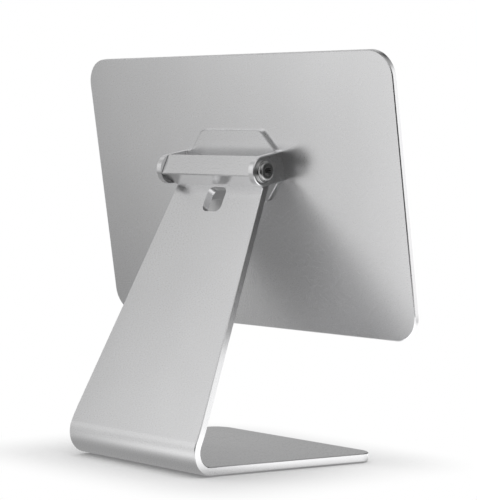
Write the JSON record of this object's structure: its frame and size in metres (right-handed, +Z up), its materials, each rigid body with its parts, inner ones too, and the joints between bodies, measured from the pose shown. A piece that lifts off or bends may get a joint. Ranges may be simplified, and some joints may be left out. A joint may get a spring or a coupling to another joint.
{
  "type": "magnetic tablet stand",
  "caption": "Desk stand with a bent aluminium foot and neck, a friction hinge at the neck's top and a thin magnetic panel that holds a tablet by its back.",
  "frame": {"origin": "bottom centre of the stand's box, on the surface that it stands on", "axes": "+Z up, +X across the stand, +Y towards the back of the foot, so the tablet faces -Y"},
  "size_m": [0.2476, 0.139, 0.238],
  "materials": {
    "satin_aluminium": "fine bead-blasted, clear anodised, bright chamfers",
    "foot_silicone": "matt silicone",
    "face_silicone": "matt soft-touch silicone",
    "screw_steel": "turned stainless steel",
    "shaft_steel": "ground steel",
    "spring_steel": "oiled spring steel",
    "bush_polymer": "dark bearing polymer",
    "washer_polymer": "dark low-friction film",
    "plate_steel": "rolled steel",
    "carrier_plastic": "moulded plastic",
    "magnet_nickel": "nickel plated",
    "tape_film": "adhesive film"
  },
  "bodies": {
    "stand": {"stand_plate": "satin_aluminium", "foot_pad": "foot_silicone", "hinge_bar": "satin_aluminium", "bar_screws": "screw_steel", "bush_left": "bush_polymer", "bush_right": "bush_polymer", "thrust_washer_left": "washer_polymer", "thrust_washer_right": "washer_polymer", "friction_clips": "spring_steel"},
    "panel": {"yoke_bracket": "satin_aluminium", "hinge_shaft": "shaft_steel", "pivot_screws": "screw_steel", "panel_shell": "satin_aluminium", "backing_plate": "plate_steel", "bracket_screws": "screw_steel", "magnet_carrier": "carrier_plastic", "keepers_left": "plate_steel", "keepers_right": "plate_steel", "magnets_left": "magnet_nickel", "magnets_right": "magnet_nickel", "face_tape": "tape_film", "face_pad": "face_silicone"}
  },
  "joints": [
    {"name": "panel_tilt", "type": "hinge", "parent": "stand", "child": "panel", "pos_m": [0.0036, 0.01011, 0.16994], "axis": [-1, 0, 0], "range_deg": [-35, 75]}
  ]
}
